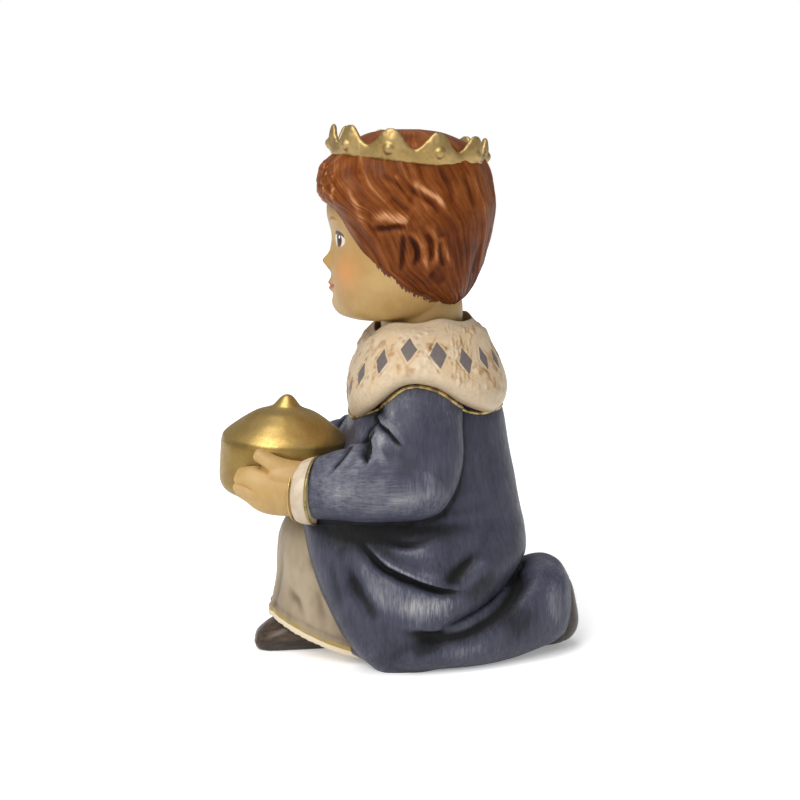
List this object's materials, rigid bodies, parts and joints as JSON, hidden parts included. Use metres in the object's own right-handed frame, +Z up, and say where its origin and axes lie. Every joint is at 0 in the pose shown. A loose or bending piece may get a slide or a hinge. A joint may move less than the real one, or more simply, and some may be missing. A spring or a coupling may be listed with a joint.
{
  "type": "wise man nativity figurine",
  "caption": "Kneeling young wise man crib figurine in painted porcelain, with crown, fur cape and long robe, holding out a round lidded gift box.",
  "frame": {"origin": "centre of the figurine's bounding box, on the surface it stands on", "axes": "+Z up, the figure faces -Y, its left side is +X"},
  "size_m": [0.0466, 0.0692, 0.1006],
  "materials": {
    "robe_blue": "slate blue ceramic paint on porcelain, brushed in streaks, satin glaze",
    "gown_beige": "taupe ceramic paint on porcelain, satin glaze, gold and cream hem lines",
    "fur_cream": "cream ceramic paint on dented porcelain, brown wash, grey diamonds",
    "skin": "warm flesh ceramic paint on smooth porcelain, satin glaze",
    "hair_brown": "reddish brown ceramic paint in fine brush strokes, satin glaze",
    "gold": "satin gold paint on porcelain",
    "shoe_brown": "dark brown ceramic paint on porcelain, satin glaze"
  },
  "bodies": {
    "root": {"wise_man_figurine": "robe_blue"}
  },
  "joints": []
}
